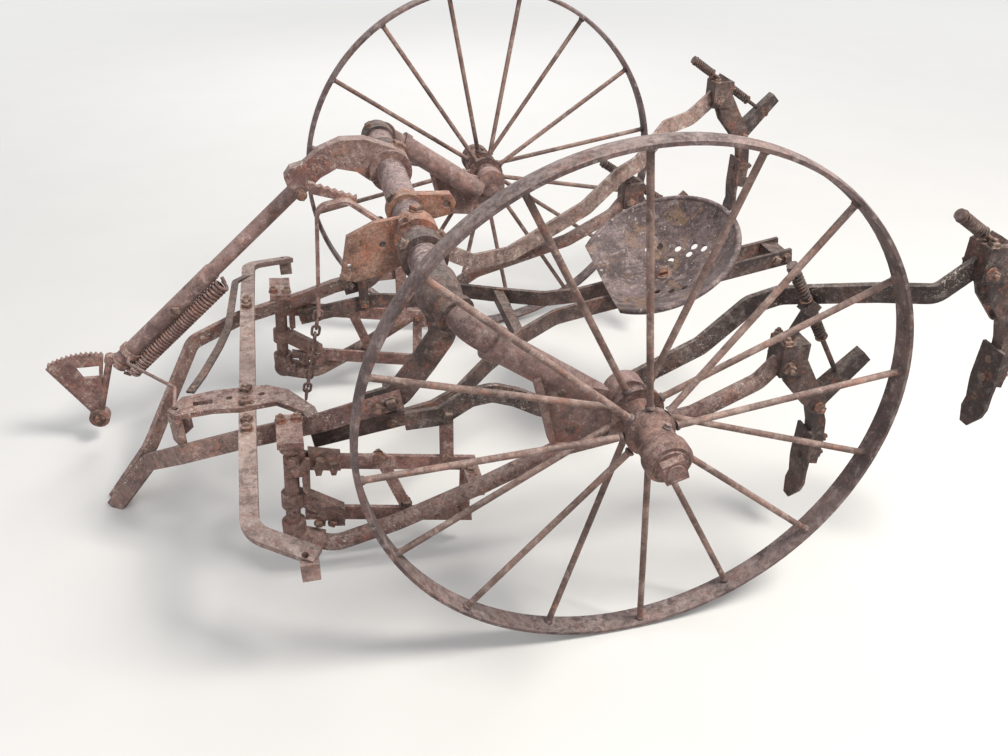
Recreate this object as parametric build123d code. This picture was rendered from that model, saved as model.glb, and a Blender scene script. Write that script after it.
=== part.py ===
from build123d import *
import math
import os

# Horse-drawn riding row cultivator: an arch axle on two spoked wheels, a bent bar frame
# that rests nose-down, a pressed seat, and two gangs of spring-trip shovels.
# Millimetres. +X is the rear, +Y the driver's right, +Z up; the ground is at z = 0.
# Places below are measured from the wheel axis at x = 0; axle_behind shifts them all
# at the end, so that the origin lies under the middle of the machine.

axle_behind = 171.6          # wheel axis behind the middle of the whole length

# Wheels
wheel_radius = 533.0
half_track = 681.5
rim_width = 45.0
rim_edge = 7.0               # rim thickness at its edges
rim_crown = 12.0             # rim thickness at its middle
spokes_each = 16
spoke_radius = 6.5
spoke_phase = {"left": 4.0, "right": 10.0}
flange_half = 33.0           # hub flanges either side of the rim's middle plane
flange_radius = 52.0
flange_thick = 14.0
rim_stagger = 6.0            # spoke ends either side of the rim's middle plane
barrel_radius = 36.0
hub_inner = 68.0             # hub length inboard and outboard of the rim's middle plane
hub_outer = 134.0
spindle_radius = 17.0
running_gap = 0.06
end_gap = 0.8

# Arch axle
arch_x = -335.0
arch_rise = 195.0            # arch above the wheel axis
arch_z = wheel_radius + arch_rise
arch_radius = 35.0
arch_wall = 7.0
arch_half = 452.0
elbow_y = arch_half + 28.0
elbow_radius = 43.0
elbow_grip = 52.0            # how far the elbow reaches in over the tube
crank_radius = 25.0
crank_bend = 46.0
crank_depth = 60.0           # crank pipe's reach into the sleeve
socket_radius = 33.0
socket_length = 56.0
sleeve_front = (-261.0, half_track - 113.5, wheel_radius + 141.0)
sleeve_back = (-38.0, half_track - 108.5, wheel_radius - 22.0)
sleeve_radius = 30.0
ring_radius = 35.0
ring_length = 17.0
boss_radius = 40.0
boss_inner = half_track - 115.5
boss_outer = half_track - 75.5
gusset_thick = 12.0
gusset_flange = 38.0
nut_radius = 24.0
nut_length = 25.0

# Bent bar frame, one row a point: x, half spread y, z
frame_bar_path = [
    (-1110.0, 24.0, -4.0),
    (-1002.0, 34.0, 128.0),
    (-882.0, 248.0, 290.0),
    (-754.0, 280.0, 330.0),
    (-574.0, 300.0, 362.0),
    (-500.0, 306.0, 382.0),
    (-400.0, 306.0, 400.0),
]
frame_bar_width = 42.0
frame_bar_thick = 12.0
frame_bar_bend = 40.0
riser_path = [(-476.0, 388.0), (-410.0, 400.0), (-348.0, 478.0), (-300.0, 545.0)]
riser_y = 295.0
riser_width = 60.0
riser_thick = 10.0
riser_bend = 46.0
clamp_radius = 49.0
clamp_width = 40.0
bow_x = -731.0
bow_half = 590.0
bow_z = 360.0
bow_flat = 320.0             # half length of the level middle
bow_drop = 24.0              # fall of the corners below the middle
bow_end = (-612.0, 660.0, 312.0)
bow_width = 36.0
bow_thick = 14.0
bow_bend = 60.0
bow_lug = (34.0, 40.0, 40.0)
bow_hole = 7.0
bracket_outline = [
    (-898, -203), (-869, -156), (-799, -144), (-687, -148), (-640, -178), (-586, -262), (-578, -300), (-604, -300),
    (-618, -268), (-668, -222), (-746, -230), (-803, -222), (-880, -228),
]
bracket_thick = 12.0
bracket_depth = 66.0
strap_seat = 3.2

# Gang couplings
pin_x = -646.0
pin_y = 365.0
pin_top = 346.0              # foot of the frame's stub, above the gang's post
pin_lean = 5.0               # lean of the post, in degrees
stub_radius = 12.0
post_radius = 16.0
lift_w = -17.0               # lift pin below the foot of the stub
lift_pin_radius = 9.0
lug_half = 7.0
cheek_thick = 9.0

# Gangs, one row a point: x, half spread y, z
gang_pipe_path = [
    (-664.0, 366.0, 112.0),
    (-580.0, 374.0, 78.0),
    (-440.0, 394.0, 130.0),
    (-255.0, 420.0, 218.0),
    (-80.0, 445.0, 312.0),
    (210.0, 470.0, 372.0),
    (350.0, 476.0, 438.0),
    (408.0, 479.0, 506.0),
]
gang_pipe_radius = 19.0
gang_pipe_bend = 60.0
gang_beam_path = [
    (-402.0, 362.0, 380.0),
    (-326.0, 362.0, 380.0),
    (-262.0, 366.0, 420.0),
    (-212.0, 370.0, 428.0),
    (-160.0, 374.0, 410.0),
    (-100.0, 380.0, 376.0),
    (10.0, 388.0, 384.0),
    (241.0, 402.0, 499.0),
    (340.0, 406.0, 588.0),
    (400.0, 420.0, 612.0),
    (533.0, 552.0, 668.0),
    (630.0, 598.0, 676.0),
    (722.0, 606.0, 750.0),
]
gang_beam_width = 44.0
gang_beam_thick = 12.0
gang_beam_bend = 40.0
link_y = 352.0
link_height = 36.0
link_thick = 10.0
link_rows = [                # x front, z front, x rear, z rear
    (-566.0, 294.0, -250.0, 232.0),
    (-566.0, 150.0, -262.0, 84.0),
]

# Spring-trip sets, from the middle of each clamp: rod ends by x and z
# and the guide's place along the rod with half the gap between its coils
trip_sets = {                # x, half spread y, z, rod top x, z, rod end x, z, guide, gap
    "left": [(408.0, 479.0, 506.0, -31.0, 206.0, 142.0, -96.0, 118.0, 22.0),
             (720.0, 606.0, 750.0, -97.0, 97.0, 166.0, -82.0, 122.0, 44.0)],
    "right": [(408.0, 479.0, 506.0, -97.0, 97.0, 166.0, -82.0, 122.0, 44.0),
              (720.0, 606.0, 750.0, -97.0, 97.0, 166.0, -82.0, 122.0, 44.0)],
}
clamp_block = (60.0, 62.0, 76.0)
clamp_drop = 6.0
trip_rod_radius = 5.5
coil_start = 9.0             # front coil behind the rod's head
rear_coil = 66.0
spring_ridges = 11
spring_radius = 13.0
shank_thick = 30.0
shank_front = 88.0
shank_pivot = (86.0, -140.0)
pivot_radius = 7.0
shovel_width = 70.0
shovel_thick = 7.0
shovel_tip = -408.0

# Lift tube, spring and sector on the right-hand side
tube_top = (-540.0, 274.0, 698.0)
tube_low = (-1073.0, 274.0, 246.0)
tube_thin_radius = 19.0
tube_thick_radius = 22.0
tube_step = 342.0            # length of the thin part
lift_spring_radius = 21.0
lift_spring_ridges = 30
sector_centre = (-1162.0, 82.0)
sector_radius = 192.0
sector_thick = 12.0
sector_from = 70.0
sector_to = 118.0
tooth_count = 12
tooth_height = 8.0

# Castings on the arch
plate_y = -200.0
plate_thick = 14.0
plate_holes = [(-70.0, -10.0, 8.0), (-143.0, -52.0, 7.0)]
arm_y = 226.0
arm_thick = 38.0
strap_y = -179.7
strap_width = 26.0
strap_thick = 7.0

# Chain by the upright strap
chain_hole = (-551.0, strap_y, 570.0)
chain_eye = 5.5
chain_low = (-612.0, -60.0, 250.0)
chain_count = 12
chain_pitch = 25.7
chain_straight = 16.0
chain_bend = 8.0
chain_wire = 3.0

# Seat
seat_ball = (196.0, -70.0)   # centre of the dish's ball, over the bars
seat_gap = 0.3
seat_roll = 10.0
seat_pitch = 24.0
seat_sphere = 290.0
seat_depth = 78.0
seat_thick = 4.0
seat_rim = 7.0
seat_front = 150.0
seat_hole = 9.0
seat_holes = [(96, 24), (112, -4), (124, -34), (60, 50), (76, 14), (24, 84), (-6, 92), (30, 30), (-40, -62), (-10, -84), (20, -98)]
seat_bar_path = [
    (-600.0, 285.0, 309.0),
    (-474.0, 285.0, 326.0),
    (-396.0, 285.0, 336.0),
    (-330.0, 268.0, 336.0),
    (-262.0, 236.0, 346.0),
    (-187.0, 196.0, 388.0),
    (-87.0, 115.0, 402.0),
    (20.0, 50.0, 410.0),
    (110.0, 37.0, 417.0),
    (655.0, 37.0, 502.0),
]
seat_bar_width = 40.0
seat_bar_thick = 10.0
seat_bar_bend = 60.0


def at(x, y, z):
    return Vector(x, y, z)


def mirrored(points, side):
    return [Vector(x, side * y, z) for x, y, z in points]


def section_plane(start, direction, side):
    """Plane across a path, its local x as near to side as the path allows."""
    z_dir = direction.normalized()
    x_dir = (side - z_dir * side.dot(z_dir)).normalized()
    return Plane(origin=start, x_dir=x_dir, z_dir=z_dir)


def flat_bar(points, width, thick, bend, side=Vector(0, 1, 0)):
    """Bent flat bar: its thickness lies along side at the first point."""
    path = FilletPolyline(*points, radius=bend) if len(points) > 2 else Line(*points)
    plane = section_plane(points[0], points[1] - points[0], side)
    return sweep(plane * Rectangle(thick, width), path=path)


def round_bar(points, radius, bend=0.0):
    path = FilletPolyline(*points, radius=bend) if len(points) > 2 else Line(*points)
    plane = section_plane(points[0], points[1] - points[0], Vector(0, 1, 0.2))
    return sweep(plane * Circle(radius), path=path)


def rod_between(start, end, radius):
    """Straight round bar from start to end."""
    axis = end - start
    plane = Plane(origin=start, z_dir=axis.normalized())
    return extrude(plane * Circle(radius), axis.length)


def along_y(radius, y_from, y_to, x=0.0, z=0.0):
    return rod_between(at(x, y_from, z), at(x, y_to, z), radius)


def plate_xz(points, y_middle, thick):
    """Flat plate with the outline points (x, z), standing across Y."""
    plane = Plane(origin=(0, y_middle + thick / 2, 0), x_dir=(1, 0, 0), z_dir=(0, -1, 0))
    return extrude(plane * make_face(Polyline(*points, close=True)), thick)


def ridged_bar(start, end, radius, ridges, core):
    """Close coils of a spring, as ridges turned about its axis."""
    axis = end - start
    step = axis.length / ridges
    points = [(core, 0)]
    for ridge in range(ridges):
        points.append((radius, (ridge + 0.5) * step))
        points.append((core, (ridge + 1) * step))
    points += [(0, axis.length), (0, 0)]
    plane = Plane(origin=start, z_dir=axis.normalized())
    profile = Plane.XZ * make_face(Polyline(*points, close=True))
    return plane * revolve(profile, Axis.Z)


def wheel_rim(side):
    middle = side * half_track
    half = rim_width / 2
    inside = wheel_radius - rim_crown
    outline = [
        Line((-half, inside), (half, inside)),
        Line((half, inside), (half, inside + rim_edge)),
        ThreePointArc((half, inside + rim_edge), (0, wheel_radius), (-half, inside + rim_edge)),
        Line((-half, inside + rim_edge), (-half, inside)),
    ]
    plane = Plane(origin=(0, middle, wheel_radius), x_dir=(0, 1, 0), z_dir=(1, 0, 0))
    return revolve(plane * make_face(outline), Axis((0, middle, wheel_radius), (0, 1, 0)))


def wheel_hub(side):
    """Hub turned about the wheel axis: outboard distance, radius."""
    inner = flange_half + flange_thick / 2
    points = [
        (-hub_inner, spindle_radius + running_gap),
        (-hub_inner, 36),
        (-inner, barrel_radius),
        (-inner, flange_radius),
        (-inner + flange_thick, flange_radius),
        (-inner + flange_thick, barrel_radius - 3),
        (inner - flange_thick, barrel_radius - 3),
        (inner - flange_thick, flange_radius - 4),
        (inner, flange_radius - 4),
        (inner + 8, barrel_radius),
        (hub_outer - 34, barrel_radius + 3),
        (hub_outer - 30, barrel_radius + 8),
        (hub_outer - 8, barrel_radius + 8),
        (hub_outer, barrel_radius),
        (hub_outer, spindle_radius + running_gap),
    ]
    middle = side * half_track
    plane = Plane(origin=(0, middle, wheel_radius), x_dir=(0, side, 0), z_dir=(side, 0, 0))
    return revolve(plane * make_face(Polyline(*points, close=True)), Axis((0, middle, wheel_radius), (0, 1, 0)))


def wheel_spokes(side, phase):
    """Round spokes, from the inner and the outer flange in turn."""
    rods = []
    for index in range(spokes_each):
        lean = -1 if index % 2 else 1
        angle = math.radians(phase + index * 360 / spokes_each)
        radial = Vector(math.cos(angle), 0, math.sin(angle))
        hub_end = at(0, side * (half_track + lean * flange_half), wheel_radius) + radial * (flange_radius - 4)
        rim_end = at(0, side * (half_track + lean * rim_stagger), wheel_radius) + radial * wheel_radius
        rods.append(rod_between(hub_end, rim_end, spoke_radius))
    inside = along_y(wheel_radius - rim_crown, side * half_track - 60, side * half_track + 60, z=wheel_radius)
    hub_clear = along_y(flange_radius, side * half_track - 60, side * half_track + 60, z=wheel_radius)
    return [(rod & inside) - hub_clear for rod in rods]


def arch_tube():
    outer = along_y(arch_radius, -arch_half, arch_half, arch_x, arch_z)
    return outer - along_y(arch_radius - arch_wall, -arch_half, arch_half, arch_x, arch_z)


def crank_points(side):
    """Elbow centre, bend and sleeve end of the crank pipe."""
    front, back = mirrored([sleeve_front, sleeve_back], side)
    along = (back - front).normalized()
    elbow = at(arch_x, side * elbow_y, arch_z)
    corner = front - along * 44
    return elbow, corner, front, back, along


def crank_pipe(side):
    elbow, corner, front, back, along = crank_points(side)
    start = elbow + (corner - elbow).normalized() * 14
    return round_bar([start, corner, front + along * crank_depth], crank_radius, crank_bend)


def arch_elbow(side):
    elbow, corner, front, back, along = crank_points(side)
    lead = (corner - elbow).normalized()
    body = along_y(elbow_radius, side * (elbow_y - elbow_grip), side * elbow_y, arch_x, arch_z)
    body += Pos(*elbow) * Sphere(elbow_radius)
    body += rod_between(elbow, elbow + lead * socket_length, socket_radius)
    body += rod_between(elbow + lead * (socket_length - 12), elbow + lead * socket_length, socket_radius + 5)
    body -= along_y(arch_radius, 0, side * arch_half, arch_x, arch_z)
    return body - crank_pipe(side)


def axle_end(side):
    """Sleeve, split ring, gusset, boss and stub axle, forged and riveted as one."""
    elbow, corner, front, back, along = crank_points(side)
    body = rod_between(front, back, sleeve_radius)
    body += rod_between(front - along * 2, front + along * ring_length, ring_radius)
    body += along_y(boss_radius, side * boss_inner, side * boss_outer, z=wheel_radius)
    gusset = [(-178, 67), (-142, -87), (0, -105), (44, -63), (44, 0), (-20, 12)]
    gusset = [(x, wheel_radius + rise) for x, rise in gusset]
    body += plate_xz(gusset, side * (boss_inner + 24), gusset_thick)
    edge = [(-186, 67), (-150, -89), (-140, -89), (-174, 71)]
    edge = [(x, wheel_radius + rise) for x, rise in edge]
    body += plate_xz(edge, side * (boss_inner + 24), gusset_flange)
    body -= rod_between(front - along * 10, front + along * crank_depth, crank_radius)
    hub_face = half_track - hub_inner - end_gap
    body += along_y(spindle_radius + 10, side * boss_outer, side * hub_face, z=wheel_radius)
    reach = half_track + hub_outer + end_gap + nut_length
    return body + along_y(spindle_radius, side * boss_outer, side * reach, z=wheel_radius)


def axle_nut(side):
    """Square nut and washer on the end of the stub axle."""
    face = half_track + hub_outer + end_gap
    washer = along_y(nut_radius + 6, side * face, side * (face + 5), z=wheel_radius)
    plane = Plane(origin=(0, side * (face + 5), wheel_radius), x_dir=(1, 0, 0.3), z_dir=(0, side, 0))
    nut = extrude(plane * Rectangle(nut_radius * 1.75, nut_radius * 1.75), nut_length - 8)
    return washer + nut - along_y(spindle_radius, 0, side * (face + nut_length), z=wheel_radius)


def frame_bar(side):
    points = mirrored(frame_bar_path, side)
    body = flat_bar(points, frame_bar_width, frame_bar_thick, frame_bar_bend, Vector(0.7, -0.7 * side, 0))
    body -= Pos(frame_bar_path[0][0], 0, -50) * Box(200, 200, 100)
    return body - front_bow()


def riser(side):
    """Wide flat bar from the inner face of a frame bar up to its clamp on the arch."""
    middle = side * riser_y
    top = at(arch_x + 8, middle, arch_z - arch_radius)
    points = mirrored([(x, riser_y, z) for x, z in riser_path], side) + [top]
    body = flat_bar(points, riser_width, riser_thick, riser_bend)
    body += along_y(clamp_radius, middle - clamp_width / 2, middle + clamp_width / 2, arch_x, arch_z)
    body -= along_y(arch_radius, middle - clamp_width, middle + clamp_width, arch_x, arch_z)
    return body - frame_bar(side)


def front_bow():
    """Cross bar laid flat on the frame bars, its ends bent back over short lugs."""
    body = None
    for side in (-1, 1):
        corner = (bow_x, bow_half, bow_z - bow_drop)
        points = mirrored([(bow_x, 0, bow_z), (bow_x, bow_flat, bow_z), corner, bow_end], side)
        half = flat_bar(points, bow_width, bow_thick, bow_bend, Vector(0, 0, 1))
        end = points[-1]
        half += Pos(end.X - 16, end.Y, end.Z - bow_lug[2] / 2) * Box(*bow_lug)
        half -= rod_between(end + at(-22, 0, 30), end + at(-22, 0, -60), bow_hole)
        body = half if body is None else body + half
    return body


def tongue_bracket():
    """Cast plate on the bow: slot, holes, turned-down front and a tail to the frame bar."""
    low = bow_z + bow_thick / 2
    body = extrude(Plane.XY.offset(low) * make_face(Polyline(*bracket_outline, close=True)), bracket_thick)
    front = [(-899, -204), (-870, -157), (-858, -164), (-885, -208), (-866, -236), (-878, -243)]
    flange = extrude(Plane.XY.offset(low - bracket_depth) * make_face(Polyline(*front, close=True)), bracket_depth)
    rib = Pos(-770, -148, low - 11) * Box(150, 8, 22)
    body = body + flange + (rib - Pos(bow_x, -148, low - 10) * Box(bow_width + 8, 30, 30))
    body -= Pos(-824, -190, low) * Box(42, 15, 60)
    for x, y, radius in ((-768, -184, 7), (-698, -184, 7), (-880, -201, 5)):
        body -= Pos(x, y, low) * Cylinder(radius, 60)
    return body - frame_bar(-1) - front_bow()


def draft_strap():
    """Flat strap from the bow's far corner to the front of the bracket."""
    seat = bow_z + bow_thick / 2 + bracket_thick + strap_seat
    points = [at(-734, 486, seat - 30), at(-764, 440, seat - 22), at(-776, 150, seat - 8), at(-795, 46, seat - 3),
              at(-828, -80, seat), at(-852, -146, seat)]
    return flat_bar(points, 18, 2 * strap_seat - 0.4, 40, Vector(0, 0, 1)) - front_bow()


def coupling_frame(side):
    """Frame at the top of a gang's upright post: local z leans back with the machine."""
    return Location((pin_x, side * pin_y, pin_top), (0, pin_lean, 0))


def local_rod(start, end, radius):
    return rod_between(Vector(*start), Vector(*end), radius)


def gang_pin(side):
    """Headed stub under the plate that lies across the frame bar."""
    inner, outer = -side * 82, side * 26
    plate = Pos(0, (inner + outer) / 2, 29) * Box(54, abs(outer - inner), 14)
    body = plate + local_rod((0, 0, 22), (0, 0, -1), stub_radius)
    body += local_rod((0, 0, 2.6), (0, 0, -1.5), stub_radius + 4)
    return coupling_frame(side) * body - frame_bar(side)


def gang_coupling(side):
    """Knuckle that turns on the stub: boss, web behind the stub's head, lug and lift pin."""
    body = local_rod((0, 0, 3), (0, 0, 21.6), stub_radius + 11)
    web = [(10, 6), (18.5, 6), (18.5, -5), (-9, -5), (-14, -10), (-14, -25), (-8, -31), (18, -31), (28, -22),
           (28, 18), (10, 18)]
    body += plate_xz(web, 0, 2 * lug_half)
    body -= local_rod((0, 0, 2), (0, 0, 40), stub_radius + running_gap)
    body += along_y(lift_pin_radius, -27, 27, 0, lift_w)
    return coupling_frame(side) * body


def gang_head(side):
    """Forked hook casting, upright post, lower arm and the elbow for the pipe."""
    place = coupling_frame(side)
    inside = -side * 13
    cheek = [(-16, lift_w - 8), (16, lift_w - 12), (30, lift_w + 4), (38, lift_w), (38, -96), (28, -108), (22, -96),
             (22, -60), (-16, -60)]
    body = local_rod((0, 0, lift_w - 18), (0, 0, -226), post_radius)
    for hand in (-1, 1):
        middle = hand * (lug_half + 1 + cheek_thick / 2)
        body += plate_xz(cheek, middle, cheek_thick)
        body += along_y(15, middle - cheek_thick / 2, middle + cheek_thick / 2, 0, lift_w)
    body -= Pos(0, 0, lift_w - 8) * Box(64, 2 * lug_half + 2, 44)
    body += Pos(31, 0, -78) * Box(14, 2 * (lug_half + 1 + cheek_thick), 44)
    upper = [(36, -10), (104, -24), (104, -64), (97, -64), (94, -76), (84, -76), (80, -62), (66, -60), (62, -74), (51, -74),
             (48, -58), (36, -56)]
    body += plate_xz(upper, inside, 24)
    body += local_rod((0, 0, -112), (0, 0, -146), post_radius + 8)
    body += plate_xz([(12, -114), (34, -118), (112, -168), (112, -200), (90, -196), (12, -146)], inside / 2, 26)
    blocks = [(26, -176), (112, -190), (112, -222), (92, -220), (90, -204), (70, -202), (68, -218), (50, -216), (48, -196), (26, -194)]
    body += plate_xz(blocks, inside, 22)
    body -= along_y(lift_pin_radius + running_gap, -60, 60, 0, lift_w)
    body = place * body
    start, second = mirrored(gang_pipe_path[:2], side)
    along = (second - start).normalized()
    body += rod_between(start - along * 10, start + along * 62, gang_pipe_radius + 7)
    body += Pos(*start) * Sphere(gang_pipe_radius + 9)
    up = (place * Pos(0, 0, -190)).position
    body += rod_between(start, up, post_radius + 10)
    return body - gang_pipe(side) - gang_links(side)


def gang_links(side):
    """Upper and lower bar with their strut, tie and the hanger of the flat beam."""
    middle = side * link_y
    body = None
    half = link_height / 2
    for x_front, z_front, x_rear, z_rear in link_rows:
        points = [(x_front, z_front - half), (x_front, z_front + half), (x_rear, z_rear + half), (x_rear, z_rear - half)]
        bar = plate_xz(points, middle, link_thick)
        body = bar if body is None else body + bar
    body += plate_xz([(-478, 296), (-450, 292), (-398, 132), (-424, 132)], middle, link_thick)
    body += plate_xz([(-292, 90), (-268, 90), (-258, 240), (-284, 240)], middle, link_thick)
    body += plate_xz([(-330, 240), (-300, 236), (-296, 396), (-326, 396)], middle, link_thick)
    saddle = Pos(-262, middle + side * 36, 214) * Box(34, 82, 30)
    return body + saddle - gang_pipe(side) - gang_beam(side)


def gang_pipe(side):
    return round_bar(mirrored(gang_pipe_path, side), gang_pipe_radius, gang_pipe_bend)


def gang_beam(side):
    return flat_bar(mirrored(gang_beam_path, side), gang_beam_width, gang_beam_thick, gang_beam_bend)


def trip_frame(side, row):
    """Local frame of one trip set: local x to the rear, local z up."""
    x, y, z = row[:3]
    return Location((x, side * y, z))


def trip_ends(row):
    """Both ends of the trip rod in the set's local frame."""
    return at(row[3], 0, row[4]), at(row[5], 0, row[6])


def trip_clamp(side, row):
    """Clamp block with the rod's guide, two ears and the pivot of the shank."""
    top, low = trip_ends(row)
    guide = top + (low - top).normalized() * row[7]
    body = Pos(0, 0, -clamp_drop) * Box(*clamp_block)
    body += Pos(*guide) * (Rot(0, 34, 0) * Box(28, 30, 30))
    body += rod_between(at(-16, 0, 10), guide, 11)
    ear = [(-6, -40), (36, -14), (62, -60), (104, -126), (98, -154), (72, -158), (16, -92)]
    for hand in (-1, 1):
        body += plate_xz(ear, hand * (shank_thick / 2 + 1 + 4.5), 9)
    body -= Pos(96, 0, -96) * Box(110, shank_thick + 2, 90)
    body += along_y(pivot_radius, -28, 28, *shank_pivot)
    body -= rod_between(top, low, trip_rod_radius)
    return trip_frame(side, row) * body - gang_pipe(side) - gang_beam(side)


def trip_rod(side, row):
    """Rod with a nut at its rear end."""
    top, low = trip_ends(row)
    along = (low - top).normalized()
    body = rod_between(top, low, trip_rod_radius)
    body += rod_between(top, top + along * (coil_start - 1), trip_rod_radius + 6)
    return trip_frame(side, row) * body


def trip_spring(side, row):
    top, low = trip_ends(row)
    span = low - top
    core = rod_between(top, low, trip_rod_radius)
    place = trip_frame(side, row)
    along = span.normalized()
    guide, gap = row[7:]
    front = ridged_bar(top + along * coil_start, top + along * (guide - gap), spring_radius, spring_ridges,
                       spring_radius - 4)
    rear = ridged_bar(top + along * (guide + gap), top + along * (guide + gap + rear_coil), spring_radius,
                      spring_ridges - 3, spring_radius - 4)
    return [place * (front - core), place * (rear - core)]


def shank(side, row):
    """Trip head bar and the shank under it, one forging, with a nut behind the head."""
    outline = [(196, -40), (176, -18), (66, -120), (72, -150), (86, -196), (shank_front, -212), (shank_front, -304),
               (122, -312), (126, -250), (120, -190), (104, -148)]
    body = plate_xz(outline, 0, shank_thick)
    body -= along_y(pivot_radius + running_gap, -40, 40, *shank_pivot)
    top, low = trip_ends(row)
    body -= rod_between(top, low + (low - top) * 0.2, trip_rod_radius)
    return trip_frame(side, row) * body


def shovel(side, row):
    """Pointed blade seated on the front of the shank."""
    back = shank_front - 0.3
    front = back - shovel_thick
    profile = [(back, -214), (back, -316), (back + 4, -356), (back - 14, shovel_tip), (front - 13, shovel_tip + 4),
               (front + 3, -356), (front, -316), (front, -214)]
    half = shovel_width / 2
    face = [(-half + 4, -200), (-half, -300), (-half + 6, -376), (-4, shovel_tip - 6), (4, shovel_tip - 6),
            (half - 6, -376), (half, -300), (half - 4, -200)]
    plane = Plane(origin=(0, 0, 0), x_dir=(0, 1, 0), z_dir=(1, 0, 0))
    outline = extrude(plane * make_face(Polyline(*face, close=True)), 400)
    return trip_frame(side, row) * (plate_xz(profile, 0, shovel_width) & outline)


def tube_axis():
    """Ends and direction of the lift tube, and the direction from it to its spring."""
    top, low = at(*tube_top), at(*tube_low)
    along = (low - top).normalized()
    drop = Vector(-along.Z, 0, along.X)
    return top, low, along, drop if drop.Z < 0 else drop * -1


def lift_tube():
    top, low, along, drop = tube_axis()
    body = rod_between(top, top + along * (tube_step + 30), tube_thin_radius)
    body += rod_between(top + along * tube_step, low, tube_thick_radius)
    return body - arm_pin(lift_pin_radius + running_gap)


def lift_spring():
    top, low, along, drop = tube_axis()
    offset = drop * (tube_thick_radius + lift_spring_radius + 0.3)
    start = top + along * (tube_step + 10) + offset
    end = low + along * 16 + offset
    return ridged_bar(start, end, lift_spring_radius, lift_spring_ridges, lift_spring_radius - 5)


def tube_clevis():
    """Cap on the tube's low end with the arm down to the sector."""
    top, low, along, drop = tube_axis()
    body = rod_between(low - along * 46, low - along * 30, tube_thick_radius + 5)
    body += rod_between(low - along * 2, low + along * 14, tube_thick_radius + 4)
    body -= lift_spring()
    body -= rod_between(low - along * 60, low, tube_thick_radius)
    eye = sector_point(sector_radius - 8, sector_from)
    arm = rod_between(low + along * 6, at(eye[0] + 6, tube_low[1], eye[1]), 7)
    return body + arm - along_y(13, tube_low[1] - 40, tube_low[1] + 40, eye[0], eye[1])


def sector_point(radius, degrees):
    angle = math.radians(degrees)
    return (sector_centre[0] + radius * math.cos(angle), sector_centre[1] + radius * math.sin(angle))


def toothed_sector():
    """Cast quadrant, toothed on its rim, with one window in its web."""
    y = tube_low[1]
    span = sector_to - sector_from
    steps = tooth_count * 2
    outline = []
    for step in range(steps + 1):
        radius = sector_radius + (tooth_height if step % 2 else 0)
        outline.append(sector_point(radius, sector_from + 5 + (span - 5) * step / steps))
    outline += [sector_point(24, sector_to), sector_point(24, sector_from)]
    body = plate_xz(outline, y, sector_thick)
    window = [sector_point(sector_radius - 66, sector_from + 8), sector_point(sector_radius - 30, sector_from + 8),
              sector_point(sector_radius - 30, sector_from + span * 0.62), sector_point(sector_radius - 66, sector_from + span * 0.55)]
    body -= plate_xz(window, y, sector_thick + 10)
    for degrees in (sector_from, sector_to):
        inner, outer = sector_point(10, degrees), sector_point(sector_radius - 2, degrees)
        body += rod_between(at(inner[0], y, inner[1]), at(outer[0], y, outer[1]), 9)
    eye = sector_point(sector_radius - 8, sector_from)
    body += along_y(13, y - 12, y + 12, eye[0], eye[1])
    return body + along_y(26, y - 15, y + 15, *sector_centre)


def sector_rod():
    """Thin rod from the collar of the tube to the front of the bracket."""
    top, low, along, drop = tube_axis()
    start = low - along * 38 + at(0, -(tube_thick_radius + 8), 0)
    deck = bow_z + bow_thick / 2 + bracket_thick
    end = at(-882, -203, deck + 4.3)
    return round_bar([start, start + at(2, -40, 4), end + at(0, 60, 14), end + at(0, 20, 2), end], 4, 12) - tube_clevis()


def lift_plate():
    outline = [(0, 48), (-85, 40), (-143, 14), (-163, -78), (-135, -88), (-65, -76), (0, -44)]
    body = plate_xz([(arch_x + x, arch_z + z) for x, z in outline], plate_y, plate_thick)
    body += along_y(clamp_radius, plate_y - 26, plate_y + 26, arch_x, arch_z)
    for x, z, radius in plate_holes:
        body -= along_y(radius, plate_y - 30, plate_y + 30, arch_x + x, arch_z + z)
    return body - along_y(arch_radius, plate_y - 40, plate_y + 40, arch_x, arch_z)


def arm_pin(radius):
    """Pin of the lift arm, through the top of the lift tube."""
    along = tube_axis()[2]
    centre = at(*tube_top) + along * 20
    return along_y(radius, arm_y - 24, tube_top[1] + tube_thin_radius + 9, centre.X, centre.Z)


def lift_arm():
    outline = [(15, 52), (-56, 80), (-114, 82), (-167, 62), (-208, 30), (-240, 22), (-256, 2), (-250, -24), (-228, -38),
               (-206, -38), (-170, -6), (-129, 14), (-82, 2), (-50, -24), (-5, -38)]
    body = plate_xz([(arch_x + x, arch_z + z) for x, z in outline], arm_y, arm_thick)
    body += along_y(clamp_radius + 3, arm_y - 32, arm_y + 32, arch_x, arch_z)
    centre = at(*tube_top) + tube_axis()[2] * 20
    body += along_y(14, arm_y, tube_top[1] - tube_thin_radius - 0.4, centre.X, centre.Z)
    body += arm_pin(lift_pin_radius)
    return body - along_y(arch_radius, arm_y - 40, arm_y + 40, arch_x, arch_z)


def link_lug():
    y = -60.0
    body = along_y(clamp_radius - 4, y - 18, y + 18, arch_x, arch_z)
    lug = [(15, -28), (99, -12), (111, 12), (99, 34), (15, 40)]
    body += plate_xz([(arch_x + x, arch_z + z) for x, z in lug], y, 24)
    body -= along_y(9, y - 40, y + 40, arch_x + 89, arch_z + 12)
    return body - along_y(arch_radius, y - 40, y + 40, arch_x, arch_z)


def guard_hoop():
    """Upright strap by the cast plate, bent over to the arch as a hoop."""
    points = [at(-552, strap_y, 560), at(-530, strap_y, 800), at(-470, strap_y, 812), at(-398, strap_y, 752)]
    body = flat_bar(points, strap_thick, strap_width, 26, Vector(0, 1, 0))
    hole = at(*chain_hole)
    return body - rod_between(hole - at(12, 0, 0), hole + at(12, 0, 0), chain_eye)


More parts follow.
